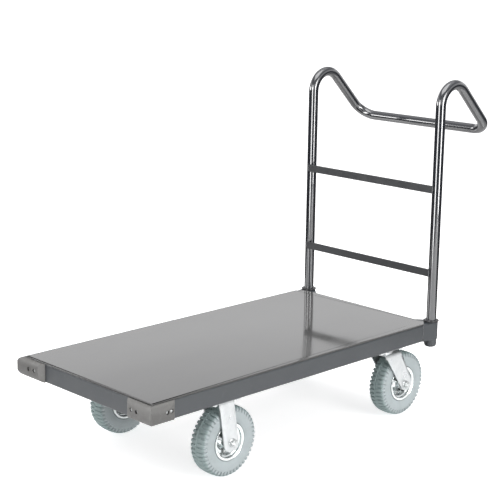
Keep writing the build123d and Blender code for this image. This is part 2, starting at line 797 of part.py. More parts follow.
for label, x in {"front": x_front_axle, "rear": x_rear_axle}.items():
    for side_label, side in sides.items():
        name = f"{side_label}_{label}"
        centre = Vector(x, side * y_wheel, wheel_radius)
        axle = Axis(centre, (0, 1, 0))
        outward = Plane(origin=centre, x_dir=(0, side, 0), z_dir=(side, 0, 0))
        inward = Plane(origin=centre, x_dir=(0, -side, 0), z_dir=(-side, 0, 0))
        spoke = Vector(cos(radians(valve_angle)), 0, sin(radians(valve_angle)))
        valve_foot = centre + spoke * valve_span[0] + Vector(0, side * valve_offset, 0)

        with BuildPart() as tyre:
            with BuildSketch(outward):
                add(tyre_section())
            revolve(axis=axle)
        save(tyre, f"{name}_tyre")

        with BuildPart() as inner_tube:
            with BuildSketch(outward):
                with Locations((0, inner_tube_centre)):
                    Circle(inner_tube_radius)
                    Circle(inner_tube_radius - inner_tube_wall, mode=Mode.SUBTRACT)
            revolve(axis=axle)
            with BuildSketch(Plane(origin=valve_foot, z_dir=spoke)):
                Circle(valve_radius)
            extrude(amount=valve_span[1] - valve_span[0])
        save(inner_tube, f"{name}_inner_tube")

        for half, half_plane in {"outer": outward, "inner": inward}.items():
            with BuildPart() as rim:
                with BuildSketch(half_plane):
                    add(rim_section())
                revolve(axis=axle)
                if half == "outer":
                    with BuildSketch(Plane(origin=valve_foot, z_dir=spoke)):
                        Circle(valve_radius + running_gap)
                    extrude(amount=valve_span[1] - valve_span[0], mode=Mode.SUBTRACT)
            save(rim, f"{name}_rim_{half}")

        with BuildPart() as bearings:
            for half_plane in (outward, inward):
                bearing_middle = (bearing_outer_face - bearing_width / 2, (bearing_radius + axle_radius) / 2)
                with BuildSketch(half_plane):
                    with Locations(bearing_middle):
                        Rectangle(bearing_width, bearing_radius - axle_radius - 2 * running_gap)
                revolve(axis=axle)
        save(bearings, f"{name}_bearings")
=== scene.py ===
import json
from math import acos, atan2, cos, hypot, pi, radians, sin, sqrt, tan

import bmesh
import bpy
import numpy as np
from mathutils import Matrix, Vector


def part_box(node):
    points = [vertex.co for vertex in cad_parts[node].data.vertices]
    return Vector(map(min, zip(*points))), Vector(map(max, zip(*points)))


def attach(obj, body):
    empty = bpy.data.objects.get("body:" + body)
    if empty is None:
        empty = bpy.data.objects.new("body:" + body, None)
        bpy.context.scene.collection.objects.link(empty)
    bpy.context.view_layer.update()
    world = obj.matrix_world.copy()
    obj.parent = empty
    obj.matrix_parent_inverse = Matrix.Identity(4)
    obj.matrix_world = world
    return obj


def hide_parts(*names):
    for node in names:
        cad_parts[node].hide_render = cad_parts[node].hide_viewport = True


# Flatbed platform truck: the finished look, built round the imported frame. Metres, in the
# frame's own axes: +X to the rear, where the push handle stands, +Z up, left is -Y.
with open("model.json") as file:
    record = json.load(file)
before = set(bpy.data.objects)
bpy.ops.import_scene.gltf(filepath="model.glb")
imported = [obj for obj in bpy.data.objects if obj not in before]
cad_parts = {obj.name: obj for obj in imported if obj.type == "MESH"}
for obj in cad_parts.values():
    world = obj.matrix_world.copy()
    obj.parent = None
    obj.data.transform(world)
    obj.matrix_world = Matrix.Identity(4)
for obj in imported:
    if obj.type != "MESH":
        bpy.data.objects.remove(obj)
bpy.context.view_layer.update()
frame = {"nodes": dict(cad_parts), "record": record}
nodes = frame["nodes"]
scene = bpy.context.scene
MM = 0.001

# ---------------------------------------------------------------- places read from the frame
deck_low, deck_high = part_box("deck_plate")
x_front, x_rear = deck_low.x, deck_high.x
y_side = deck_high.y
z_plate, z_deck = deck_low.z, deck_high.z
channel_low, channel_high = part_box("left_side_channel")
z_frame = channel_low.z
side_end = channel_high.x
y_web = -channel_low.y
tube_low, tube_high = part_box("handle_tube")
sleeve_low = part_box("socket_sleeves")[0]
sides = {"left": -1, "right": 1}

# ---------------------------------------------------------------- driving dimensions
TUBE_RADIUS = 16.7 * MM
TUBE_WALL = 2.6 * MM
TUBE_FACETS = 48
TOP_BEND = 68 * MM
GRIP_BEND = 62 * MM
PEAK_CORNER = 885 * MM
GRIP_HEIGHT = 623 * MM
CORNER_CUT_X = 32 * MM
CORNER_CUT_Y = 24 * MM

x_post = tube_low.x + TUBE_RADIUS
y_post = tube_high.y - TUBE_RADIUS
x_grip = tube_high.x - TUBE_RADIUS
z_grip = z_deck + GRIP_HEIGHT
z_peak = z_deck + PEAK_CORNER


# ================================================================ materials
class Finish:
    """A procedural material: a Principled shader with textures in object coordinates."""

    def __init__(self, name, colour, **sockets):
        self.material = bpy.data.materials.new(name)
        self.material.use_nodes = True
        self.tree = self.material.node_tree
        self.shader = self.tree.nodes["Principled BSDF"]
        self.colour = (*colour, 1.0)
        self.shader.inputs["Base Color"].default_value = self.colour
        for socket, value in sockets.items():
            self.shader.inputs[socket.replace("_", " ")].default_value = value
        self.place = self.tree.nodes.new("ShaderNodeTexCoord").outputs["Object"]

    def link(self, source, target):
        """Joins an output to an input."""
        self.tree.links.new(source, target)

    def noise(self, scale, detail=3.0, stretch=(1, 1, 1)):
        """Noise with its features 1 / scale metres wide, stretched along the axes."""
        mapping = self.tree.nodes.new("ShaderNodeMapping")
        mapping.inputs["Scale"].default_value = [1 / s for s in stretch]
        self.link(self.place, mapping.inputs["Vector"])
        node = self.tree.nodes.new("ShaderNodeTexNoise")
        node.inputs["Scale"].default_value = scale
        node.inputs["Detail"].default_value = detail
        self.link(mapping.outputs["Vector"], node.inputs["Vector"])
        return node.outputs["Fac"]

    def painted(self, attribute):
        """A value that the mesh carries at each point."""
        node = self.tree.nodes.new("ShaderNodeAttribute")
        node.attribute_name = attribute
        return node.outputs["Fac"]

    def cells(self, scale):
        """Distance to the nearest of scattered points, for spangle and pitting."""
        node = self.tree.nodes.new("ShaderNodeTexVoronoi")
        node.inputs["Scale"].default_value = scale
        self.link(self.place, node.inputs["Vector"])
        return node.outputs["Color"]

    def spread(self, factor, low, high, from_low=0.3, from_high=0.7):
        """The factor mapped from its usual span to low and high."""
        node = self.tree.nodes.new("ShaderNodeMapRange")
        node.inputs["From Min"].default_value = from_low
        node.inputs["From Max"].default_value = from_high
        node.inputs["To Min"].default_value = low
        node.inputs["To Max"].default_value = high
        self.link(factor, node.inputs["Value"])
        return node.outputs["Result"]

    def tint(self, factor, colour, strength=1.0, from_low=0.45, from_high=0.75):
        """Mixes another colour into the base where the factor is high."""
        mix = self.tree.nodes.new("ShaderNodeMix")
        mix.data_type = "RGBA"
        base = self.shader.inputs["Base Color"]
        if base.is_linked:
            self.link(base.links[0].from_socket, mix.inputs["A"])
        else:
            mix.inputs["A"].default_value = self.colour
        mix.inputs["B"].default_value = (*colour, 1.0)
        self.link(self.spread(factor, 0.0, strength, from_low, from_high), mix.inputs["Factor"])
        self.link(mix.outputs["Result"], base)

    def roughness(self, factor, low, high):
        """Roughness that follows the factor from low to high."""
        self.link(self.spread(factor, low, high), self.shader.inputs["Roughness"])

    def bump(self, factor, height, strength=1.0):
        """Raises the surface by up to height metres, on top of any bump already there."""
        node = self.tree.nodes.new("ShaderNodeBump")
        node.inputs["Strength"].default_value = strength
        node.inputs["Distance"].default_value = height
        normal = self.shader.inputs["Normal"]
        if normal.is_linked:
            self.link(normal.links[0].from_socket, node.inputs["Normal"])
        self.link(factor, node.inputs["Height"])
        self.link(node.outputs["Normal"], normal)


def deck_enamel():
    """Smooth semi-gloss grey enamel with faint scuffs along the deck."""
    finish = Finish("deck_enamel", (0.052, 0.052, 0.051), IOR=1.6)
    finish.tint(finish.noise(3.0, 4.0), (0.042, 0.042, 0.042), 0.8)
    finish.tint(finish.noise(60.0, 6.0, (9, 1, 1)), (0.08, 0.08, 0.078), 0.25, 0.6, 0.8)
    finish.roughness(finish.noise(5.0, 6.0, (3, 1, 1)), 0.06, 0.13)
    finish.bump(finish.noise(7.0, 1.0), 0.25 * MM, 0.25)
    finish.bump(finish.noise(420.0, 2.0), 0.02 * MM, 0.25)
    return finish.material


def frame_enamel():
    """Dark grey enamel with a fine orange peel."""
    finish = Finish("frame_enamel", (0.040, 0.046, 0.052), IOR=1.5)
    finish.tint(finish.noise(6.0, 4.0), (0.036, 0.040, 0.046), 0.8)
    finish.tint(finish.noise(90.0, 5.0), (0.085, 0.088, 0.092), 0.3, 0.62, 0.8)
    finish.roughness(finish.noise(12.0, 5.0), 0.34, 0.46)
    finish.bump(finish.noise(380.0, 2.0), 0.04 * MM, 0.35)
    return finish.material


def handle_enamel():
    """Glossy charcoal enamel on bent tube."""
    finish = Finish("handle_enamel", (0.016, 0.018, 0.024), IOR=1.75, Coat_Weight=1.0, Coat_Roughness=0.03)
    finish.tint(finish.noise(9.0, 4.0), (0.012, 0.014, 0.018), 0.8)
    finish.roughness(finish.noise(25.0, 4.0), 0.10, 0.17)
    finish.bump(finish.noise(300.0, 2.0), 0.012 * MM, 0.25)
    return finish.material


def rung_enamel():
    """Satin dark grey enamel on flat bar."""
    finish = Finish("rung_enamel", (0.028, 0.030, 0.033), IOR=1.5)
    finish.tint(finish.noise(40.0, 5.0), (0.038, 0.039, 0.042), 0.6)
    finish.roughness(finish.noise(30.0, 4.0), 0.38, 0.5)
    finish.bump(finish.noise(500.0, 3.0), 0.04 * MM, 0.4)
    return finish.material


def ring_enamel():
    """Black enamel on the rings at the foot of the posts."""
    finish = Finish("ring_enamel", (0.008, 0.008, 0.010), IOR=1.5)
    finish.tint(finish.noise(80.0, 4.0), (0.016, 0.016, 0.018), 0.7)
    finish.roughness(finish.noise(60.0, 4.0), 0.3, 0.45)
    finish.bump(finish.noise(600.0, 2.0), 0.03 * MM, 0.4)
    return finish.material


def bumper_rubber():
    """Warm grey moulded rubber with a fine grain and rubbed patches."""
    finish = Finish("bumper_rubber", (0.125, 0.123, 0.118), IOR=1.45)
    finish.tint(finish.noise(18.0, 5.0), (0.10, 0.098, 0.092), 0.8)
    finish.tint(finish.noise(140.0, 5.0), (0.17, 0.168, 0.163), 0.5, 0.58, 0.75)
    finish.roughness(finish.noise(45.0, 4.0), 0.5, 0.66)
    finish.bump(finish.noise(900.0, 3.0), 0.08 * MM, 0.5)
    finish.bump(finish.noise(110.0, 2.0), 0.15 * MM, 0.25)
    return finish.material


def tyre_rubber():
    """Light grey non-marking rubber, darker and greener on the tread, where the darkening is painted shade
    of the grooves and of the deck above. A painted dark ring of shade lies round the bead, where tyre
    meets rim.
    """
    finish = Finish("tyre_rubber", (0.475, 0.53, 0.54), IOR=1.45)
    finish.tint(finish.noise(30.0, 5.0), (0.40, 0.45, 0.455), 0.7)
    finish.tint(finish.noise(260.0, 5.0), (0.30, 0.345, 0.345), 0.4, 0.6, 0.8)
    # Painted shade: the tread is darkened, with a green tint, for the shade of its grooves and of the deck
    # above
    finish.tint(finish.painted("tread"), (0.29, 0.375, 0.37), 0.85, 0.0, 1.0)
    # Painted shade: a dark ring round the bead, for the shadowed gap between tyre and rim
    finish.tint(finish.painted("bead"), (0.07, 0.095, 0.095), 0.9, 0.0, 1.0)
    finish.roughness(finish.noise(70.0, 4.0), 0.55, 0.72)
    finish.bump(finish.noise(1100.0, 3.0), 0.06 * MM, 0.5)
    return finish.material


def black_rubber():
    """Black butyl and nitrile rubber: inner tubes, valve stems and bearing seals."""
    finish = Finish("black_rubber", (0.018, 0.018, 0.019), IOR=1.45)
    finish.tint(finish.noise(120.0, 4.0), (0.035, 0.035, 0.036), 0.6)
    finish.roughness(finish.noise(90.0, 4.0), 0.5, 0.65)
    finish.bump(finish.noise(900.0, 2.0), 0.05 * MM, 0.4)
    return finish.material


def plated_rim():
    """Bright plated pressing with drawing marks round the axle."""
    finish = Finish("plated_rim", (0.64, 0.67, 0.67), Metallic=1.0)
    finish.tint(finish.noise(35.0, 5.0), (0.48, 0.515, 0.515), 0.6)
    finish.roughness(finish.noise(55.0, 5.0), 0.07, 0.16)
    finish.bump(finish.noise(240.0, 3.0), 0.03 * MM, 0.3)
    return finish.material


def zinc_sheet():
    """Bright zinc plating on pressed steel: faint spangle and milky patches."""
    finish = Finish("zinc_sheet", (0.50, 0.515, 0.52), Metallic=0.7)
    finish.tint(finish.cells(160.0), (0.42, 0.44, 0.445), 0.5, 0.2, 0.9)
    finish.tint(finish.noise(28.0, 6.0), (0.58, 0.59, 0.59), 0.6)
    finish.roughness(finish.noise(40.0, 6.0), 0.26, 0.40)
    finish.bump(finish.noise(600.0, 3.0), 0.02 * MM, 0.4)
    return finish.material


def zinc_turned():
    """Zinc-plated fasteners and washers."""
    finish = Finish("zinc_turned", (0.46, 0.475, 0.475), Metallic=1.0)
    finish.tint(finish.noise(150.0, 5.0), (0.34, 0.345, 0.34), 0.6)
    finish.roughness(finish.noise(200.0, 4.0), 0.22, 0.38)
    finish.bump(finish.noise(800.0, 3.0), 0.02 * MM, 0.4)
    return finish.material


def bearing_steel():
    """Ground steel of bearing rings and balls."""
    finish = Finish("bearing_steel", (0.58, 0.58, 0.59), Metallic=1.0)
    finish.tint(finish.noise(260.0, 3.0), (0.48, 0.48, 0.49), 0.6)
    finish.roughness(finish.noise(400.0, 3.0), 0.16, 0.26)
    finish.bump(finish.noise(1200.0, 2.0), 0.01 * MM, 0.3)
    return finish.material


def weld_metal():
    """Weld beads under the frame's enamel: darker, glossier and lumpy."""
    finish = Finish("weld_metal", (0.060, 0.064, 0.070), IOR=1.55)
    finish.tint(finish.noise(300.0, 4.0), (0.10, 0.10, 0.105), 0.5)
    finish.roughness(finish.noise(250.0, 4.0), 0.2, 0.34)
    finish.bump(finish.noise(700.0, 3.0), 0.1 * MM, 0.5)
    return finish.material


looks = {
    "deck_grey": deck_enamel(),
    "frame_grey": frame_enamel(),
    "handle_gloss": handle_enamel(),
    "rung_satin": rung_enamel(),
    "ring_black": ring_enamel(),
    "bumper_rubber": bumper_rubber(),
    "tyre_rubber": tyre_rubber(),
    "tube_rubber": black_rubber(),
    "chromed_rim": plated_rim(),
    "zinc_plate": zinc_sheet(),
    "zinc_fastener": zinc_turned(),
    "bearing_steel": bearing_steel(),
}
weld_look = weld_metal()


# ================================================================ mesh tools
def facing(origin, direction):
    """A matrix that carries local Z to direction and the local origin to origin."""
    return Matrix.Translation(origin) @ Vector(direction).to_track_quat("Z", "Y").to_matrix().to_4x4()


def rounded(corners, radii, step=radians(15)):
    """A closed 2D outline with its corners rounded by arcs. Radius 0 keeps a corner."""
    outline = []
    for i, corner in enumerate(corners):
        corner = np.array(corner, float)
        before = np.array(corners[i - 1], float) - corner
        after = np.array(corners[(i + 1) % len(corners)], float) - corner
        reach = min(np.linalg.norm(before), np.linalg.norm(after))
        before, after = before / np.linalg.norm(before), after / np.linalg.norm(after)
        half = acos(max(-1.0, min(1.0, before @ after))) / 2
        radius = min(radii[i], 0.49 * reach * tan(half))
        if radius <= 0:
            outline.append(tuple(corner))
            continue
        middle = before + after
        centre = corner + middle / np.linalg.norm(middle) * radius / sin(half)
        first = corner + before * radius / tan(half) - centre
        last = corner + after * radius / tan(half) - centre
        start, turn = atan2(first[1], first[0]), atan2(last[1], last[0]) - atan2(first[1], first[0])
        turn = (turn + pi) % (2 * pi) - pi
        count = max(2, round(abs(turn) / step))
        for k in range(count + 1):
            angle = start + turn * k / count
            outline.append((centre[0] + radius * cos(angle), centre[1] + radius * sin(angle)))
    return outline


def in_metres(section):
    """A section drawn in millimetres, in metres."""
    return [(a * MM, b * MM) for a, b in section]


def bezier(points, count, last=True):
    """Points along a cubic, from its first to its last control point."""
    a, b, c, d = (np.array(p, float) for p in points)
    steps = [k / count for k in range(count + (1 if last else 0))]
    return [
        tuple(a * (1 - t) ** 3 + 3 * b * t * (1 - t) ** 2 + 3 * c * t * t * (1 - t) + d * t**3)
        for t in steps
    ]


BEAD_FACETS = 10


class Shape:
    """Collects the solids of one piece."""

    def __init__(self):
        self.points = []
        self.faces = []

    def add(self, points, faces):
        """Adds points, and faces that count from the first of them."""
        base = len(self.points)
        self.points += [tuple(p) for p in points]
        self.faces += [tuple(base + i for i in face) for face in faces]

    def lathe(self, loop, place, steps=64, change=None):
        """Turns a closed loop of (radius, height) points about the local Z axis of place.
        change(angle, radius, height) may alter a point's radius and height."""
        points = []
        for k in range(steps):
            angle = 2 * pi * k / steps
            for radius, height in loop:
                if change:
                    radius, height = change(angle, radius, height)
                points.append(place @ Vector((radius * cos(angle), radius * sin(angle), height)))
        self.add(points, self.grid(steps, len(loop)))

    @staticmethod
    def grid(rows, columns):
        """Faces of a grid that closes on itself both ways."""
        return [
            (
                r * columns + c,
                r * columns + (c + 1) % columns,
                (r + 1) % rows * columns + (c + 1) % columns,
                (r + 1) % rows * columns + c,
            )
            for r in range(rows)
            for c in range(columns)
        ]

    def rings(self, rings, closed=False):
        """Skins a row of rings with the same number of points. Open ends are capped."""
        count = len(rings[0])
        points = [p for ring in rings for p in ring]
        spans = len(rings) if closed else len(rings) - 1
        faces = []
        for r in range(spans):
            for c in range(count):
                d = (c + 1) % count
                s = (r + 1) % len(rings)
                faces.append((r * count + c, r * count + d, s * count + d, s * count + c))
        if not closed:
            faces.append(tuple(reversed(range(count))))
            faces.append(tuple((len(rings) - 1) * count + c for c in range(count)))
        self.add(points, faces)

    def hexagon(self, flats, levels, place, bore=0.0, steps=48):
        """A hexagonal nut or bolt head. levels are (height, corner limit): the limit trims
        the corners to a circle, which makes the chamfer."""
        half = flats / 2
        loop = [(bore, levels[0][0])] + [(limit, height) for height, limit in levels]
        loop.append((bore, levels[-1][0]))

        def trim(angle, radius, height):
            """Keeps the radius inside the hexagon's flats."""
            if radius <= bore:
                return radius, height
            sector = (angle + pi / 6) % (pi / 3) - pi / 6
            return min(radius, half / cos(sector)), height

        self.lathe(loop, place, steps, trim)

    def bead(self, path, radius):
        """A weld bead along a line of points: overlapping ripples with tapered ends."""
        ripple = 2.1 * radius
        line = [Vector(p) for p in path]
        runs = [(b - a).length for a, b in zip(line, line[1:])]
        total = sum(runs)
        count = max(6, round(total / (ripple / 4)))
        turns = [2 * pi * i / BEAD_FACETS for i in range(BEAD_FACETS)]
        rings = []
        for k in range(count + 1):
            along = total * k / count
            spot, heading = self.walk(line, runs, along)
            side = heading.orthogonal().normalized()
            up = heading.cross(side)
            taper = min(1.0, 0.35 + 2.2 * min(along, total - along) / (4 * radius))
            wave = 1 + 0.13 * cos(2 * pi * along / ripple) + 0.05 * sin(23 * along / radius)
            size = radius * taper * wave
            rings.append([spot + (side * cos(a) + up * sin(a)) * size for a in turns])
        self.rings(rings)

    @staticmethod
    def walk(line, runs, along):
        """The place and heading at a distance along a line of points."""
        for a, b, run in zip(line, line[1:], runs):
            if along <= run or b is line[-1]:
                heading = (b - a).normalized()
                return a + heading * min(along, run), heading
            along -= run

    def piece(self, name, body, slot, replaced=(), look=None, sharp=35):
        """Makes the piece, which rides on a body, and stands for CAD nodes."""
        mesh = bpy.data.meshes.new(name)
        mesh.from_pydata([tuple(p) for p in self.points], [], self.faces)
        return finish_piece(name, mesh, body, slot, replaced, look, sharp)


def finish_piece(name, mesh, body, slot, replaced=(), look=None, sharp=35):
    """Cleans a mesh, smooths its rounded faces and links it as a piece."""
    bm = bmesh.new()
    bm.from_mesh(mesh)
    bmesh.ops.remove_doubles(bm, verts=bm.verts, dist=0.002 * MM)
    bmesh.ops.dissolve_degenerate(bm, edges=bm.edges, dist=0.001 * MM)
    bmesh.ops.recalc_face_normals(bm, faces=bm.faces)
    bm.to_mesh(mesh)
    bm.free()
    mesh.materials.clear()
    mesh.materials.append(look or looks[slot])
    mesh.shade_smooth()
    mesh.set_sharp_from_angle(angle=radians(sharp))
    obj = bpy.data.objects.new(name, mesh)
    scene.collection.objects.link(obj)
    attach(obj, body)
    if replaced:
        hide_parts(*replaced)
    return obj


record_slots = {s["node"]: s["material_slot"] for s in frame["record"]["subparts"]}
body_of = {n: body for body, members in frame["record"]["behaviour"]["bodies"].items() for n in members}


def round_edges(node, radius, segments=2, sharp=32):
    """A copy of a CAD node with its sharp edges rounded, which stands for the node."""
    bm = bmesh.new()
    bm.from_mesh(nodes[node].data)
    bmesh.ops.remove_doubles(bm, verts=bm.verts, dist=0.002 * MM)
    bmesh.ops.dissolve_limit(bm, angle_limit=radians(0.02), verts=bm.verts, edges=bm.edges)
    edges = [e for e in bm.edges if len(e.link_faces) == 2 and e.calc_face_angle(0.0) > radians(sharp)]
    bmesh.ops.bevel(
        bm,
        geom=edges,
        offset=radius,
        offset_type="OFFSET",
        segments=segments,
        profile=0.5,
        affect="EDGES",
        clamp_overlap=True,
    )
    mesh = bpy.data.meshes.new(f"{node}_finished")
    bm.to_mesh(mesh)
    bm.free()
    obj = finish_piece(f"{node}_finished", mesh, body_of[node], record_slots[node], (node,))
    even = obj.modifiers.new("even_flats", "WEIGHTED_NORMAL")
    even.keep_sharp = True


def keep_node(node):
    """Gives a CAD node that stays its finished material."""
    nodes[node].data.materials.clear()
    nodes[node].data.materials.append(looks[record_slots[node]])


# ================================================================ deck plate
DECK_EDGE = [
    (0.0, 2.6), (0.0, 1.7), (0.25, 1.0), (0.8, 0.6), (1.6, 0.38), (3.0, 0.2), (5.0, 0.06), (7.5, 0.0),
]


def inset(outline, distance):
    """A convex outline moved inwards by a distance. The outline runs anticlockwise."""
    count = len(outline)
    lines = []
    for i in range(count):
        a, b = Vector(outline[i]), Vector(outline[(i + 1) % count])
        along = (b - a).normalized()
        lines.append((a + Vector((-along.y, along.x)) * distance, along))
    moved = []
    for i in range(count):
        (p, u), (q, v) = lines[i - 1], lines[i]
        moved.append(p + u * ((q - p).cross(v) / u.cross(v)))
    return moved


def build_deck():
    """The deck plate: its border falls away a little before the rounded edge."""
    square = [
        (x_front, -y_side),
        (x_rear - CORNER_CUT_X, -y_side),
        (x_rear, -y_side + CORNER_CUT_Y),
        (x_rear, y_side - CORNER_CUT_Y),
        (x_rear - CORNER_CUT_X, y_side),
        (x_front, y_side),
    ]
    corner = 2.5 * MM
    outline = [Vector(p) for p in rounded(square, [corner] * len(square))]
    shape = Shape()
    rings = [[(p.x, p.y, z_plate) for p in inset(outline, 0.4 * MM)]]
    rings.append([(p.x, p.y, z_plate + 0.4 * MM) for p in outline])
    for distance, drop in DECK_EDGE:
        rings.append([(p.x, p.y, z_deck - drop * MM) for p in inset(outline, distance * MM)])
    shape.rings(rings)
    shape.piece("deck_plate_finished", "chassis", "deck_grey", ["deck_plate"], sharp=50)


build_deck()

# ================================================================ frame
for node, radius in {
    "front_channel": 0.5,
    "rear_channel": 0.5,
    "left_side_channel": 0.5,
    "right_side_channel": 0.5,
    "front_crossmember": 0.5,
    "rear_crossmember": 0.5,
    "deck_stiffeners": 0.4,
    "left_socket_strap": 0.5,
    "right_socket_strap": 0.5,
    "corner_gussets": 0.4,
    "socket_sleeves": 0.5,
    "socket_caps": 0.3,
    "handle_rings": 0.3,
    "lower_rung": 0.6,
    "upper_rung": 0.6,
    "left_front_fork": 0.8,
    "right_front_fork": 0.8,
    "left_rear_fork": 0.8,
    "right_rear_fork": 0.8,
    "left_swivel_plate": 0.6,
    "right_swivel_plate": 0.6,
}.items():
    round_edges(node, radius * MM)
for node in (
    "left_swivel_balls",
    "right_swivel_balls",
    "king_pins",
    "left_corner_bumper",
    "right_corner_bumper",
):
    keep_node(node)


# ================================================================ handle
def bent_path(corners, bends, step=radians(3)):
    """Points along straight runs joined by arcs."""
    corners = [Vector(c) for c in corners]
    path = [corners[0]]
    for i, bend in enumerate(bends, 1):
        before = (corners[i - 1] - corners[i]).normalized()
        after = (corners[i + 1] - corners[i]).normalized()
        half = before.angle(after) / 2
        centre = corners[i] + (before + after).normalized() * bend / sin(half)
        first = corners[i] + before * bend / tan(half) - centre
        turn = pi - 2 * half
        axis = before.cross(after).normalized() * -1
        count = max(2, round(turn / step))
        for k in range(count + 1):
            path.append(centre + Matrix.Rotation(turn * k / count, 3, axis) @ first)
    path.append(corners[-1])
    return path


def build_handle():
    """The bent tube, open at both ends inside its sockets."""
    corners = [
        (x_post, -y_post, tube_low.z),
        (x_post, -y_post, z_peak),
        (x_grip, -y_post, z_grip),
        (x_grip, y_post, z_grip),
        (x_post, y_post, z_peak),
        (x_post, y_post, tube_low.z),
    ]
    path = bent_path(corners, (TOP_BEND, GRIP_BEND, GRIP_BEND, TOP_BEND))
    turns = np.linspace(0, 2 * pi, TUBE_FACETS + 1)[:-1]
    side = Vector((0, 1, 0))
    walls = {TUBE_RADIUS: [], TUBE_RADIUS - TUBE_WALL: []}
    for i, spot in enumerate(path):
        heading = (path[min(i + 1, len(path) - 1)] - path[max(i - 1, 0)]).normalized()
        side = (side - heading * side.dot(heading)).normalized()
        up = heading.cross(side)
        for radius, rings in walls.items():
            rings.append([spot + (side * cos(a) + up * sin(a)) * radius for a in turns])
    outer, inner = walls.values()
    shape = Shape()
    shape.rings(outer + inner[::-1], closed=True)
    shape.piece("handle_tube_finished", "chassis", "handle_gloss", ["handle_tube"], sharp=60)


build_handle()


# ================================================================ wheels
LUGS = 46
LUG_DEPTH = 4.6 * MM
# Radii where the tread's painted shade starts and where the painted shade round the bead ends, and how far
# each fades
TREAD_SHADE_START, TREAD_SHADE_FADE = 99 * MM, 5 * MM
BEAD_SHADE_END, BEAD_SHADE_FADE = 61.5 * MM, 3 * MM
CROWN_HALF = 21 * MM
CROWN_DROP = 1.5 * MM
# One pitch of the tread. Each column is (share of the groove's half width, share of the lug,
# share of the depth).
TREAD_COLUMNS = [
    (-0.72, 0.0, 1.0),
    (0.0, 0.0, 1.0),
    (0.72, 0.0, 1.0),
    (1.0, 0.0, 0.09),
    (1.0, 0.09, 0.0),
    (1.0, 0.5, 0.0),
    (1.0, 0.91, 0.0),
    (1.0, 1.0, 0.09),
]


def smooth(low, high, value):
    """Rises smoothly from 0 to 1 as the value goes from low to high."""
    t = max(0.0, min(1.0, (value - low) / (high - low)))
    return t * t * (3 - 2 * t)


def tyre_half():
    """Half of the tyre's section, from the middle of the tread to the bead and back inside."""
    radius = wheel_radius
    outer = [
        (CROWN_HALF * k / 12, radius - CROWN_DROP * (k / 12) ** 2)
        for k in range(12)
    ]
    shoulder = [(CROWN_HALF, radius - CROWN_DROP), (25.5 * MM, radius - 2.2 * MM)]
    shoulder += [(28.0 * MM, 105 * MM), (28.9 * MM, 101.3 * MM)]
    outer += bezier(shoulder, 6, last=False)
    wall = [(28.9 * MM, 101.3 * MM), (32.3 * MM, 90 * MM), (32.6 * MM, 70 * MM), (27.3 * MM, 58.5 * MM)]
    outer += bezier(wall, 20)
    bead = [(27.3, 52.4), (26.6, 51.6), (21.4, 51.2), (20.7, 52.0)]
    lining = [(22.3, 60), (24.4, 66), (25.0, 72), (25.0, 84)]
    crown = [(23.8, 92), (21.0, 97.8), (12, 100.6), (0, 101.5)]
    return outer, in_metres(bead + lining + crown)


def wall_rings(radius):
    """Depth of the fine rings moulded in the sidewall at a radius."""
    depth = 0.0
    for place, width, deep in ((94.5, 1.3, 0.5), (88.0, 0.9, 0.35), (66.0, 1.1, 0.5), (62.5, 0.8, 0.4)):
        depth += deep * MM * max(0.0, 1 - ((radius / MM - place) / width) ** 2)
    return depth


def build_tyre(name, centre):
    """A pneumatic tyre with staggered lugs that run over both shoulders."""
    outer, inner = tyre_half()
    half = outer + inner[:-1]
    section = [(-x, r) for x, r in reversed(half[1:])] + half + [inner[-1]]
    tread_count = len(outer)
    middle = len(half) - 1
    distance = [0.0] * len(section)
    for way in (1, -1):
        travelled = 0.0
        for k in range(1, tread_count):
            i = middle + way * k
            a, b = section[i - way], section[i]
            travelled += hypot(b[0] - a[0], b[1] - a[1])
            distance[i] = way * travelled
    normals = []
    for i in range(len(section)):
        a, b = section[i - 1], section[(i + 1) % len(section)]
        along = Vector((b[0] - a[0], b[1] - a[1])).normalized()
        normals.append((-along.y, along.x))
    points = []
    pitch = 2 * pi / LUGS
    for lug in range(LUGS):
        for groove_share, lug_share, depth_share in TREAD_COLUMNS:
            for i, (x, r) in enumerate(section):
                s = distance[i] / MM
                reach = abs(s)
                width = 0.17 + 0.05 * smooth(6, 28, reach)
                turn = groove_share * width + lug_share * (1 - 2 * width)
                turn += 0.25 * max(-1.0, min(1.0, s / 2.6))
                depth = 0.0
                if abs(i - middle) < tread_count:
                    cross = LUG_DEPTH * smooth(3.5, 6.5, reach) * (1 - smooth(37, 43, reach))
                    band = 3.0 * MM * (1 - smooth(1.0, 2.2, reach))
                    depth = max(cross * depth_share, band) + wall_rings(r) * (reach > 30)
                nx, nr = normals[i]
                x, r = x - nx * depth, r - nr * depth
                angle = pitch * (lug + turn)
                points.append(centre + Vector((r * cos(angle), x, r * sin(angle))))
    shape = Shape()
    shape.add(points, Shape.grid(LUGS * len(TREAD_COLUMNS), len(section)))
    tyre = shape.piece(f"{name}_tyre_finished", f"{name}_wheel", "tyre_rubber", [f"{name}_tyre"], sharp=38)
    places = np.empty(len(tyre.data.vertices) * 3)
    tyre.data.vertices.foreach_get("co", places)
    x, y, z = (places.reshape(-1, 3) - centre[:]).T
    radius = np.hypot(x, z)
    marks = {
        # Painted shade on the tread, from the tread's radius outwards
        "tread": np.clip((radius - TREAD_SHADE_START) / TREAD_SHADE_FADE, 0, 1),
        # Painted shade round the bead, inside the bead's radius
        "bead": np.clip((BEAD_SHADE_END - radius) / BEAD_SHADE_FADE, 0, 1),
    }
    for mark, values in marks.items():
        tyre.data.attributes.new(mark, "FLOAT", "POINT").data.foreach_set("value", values)


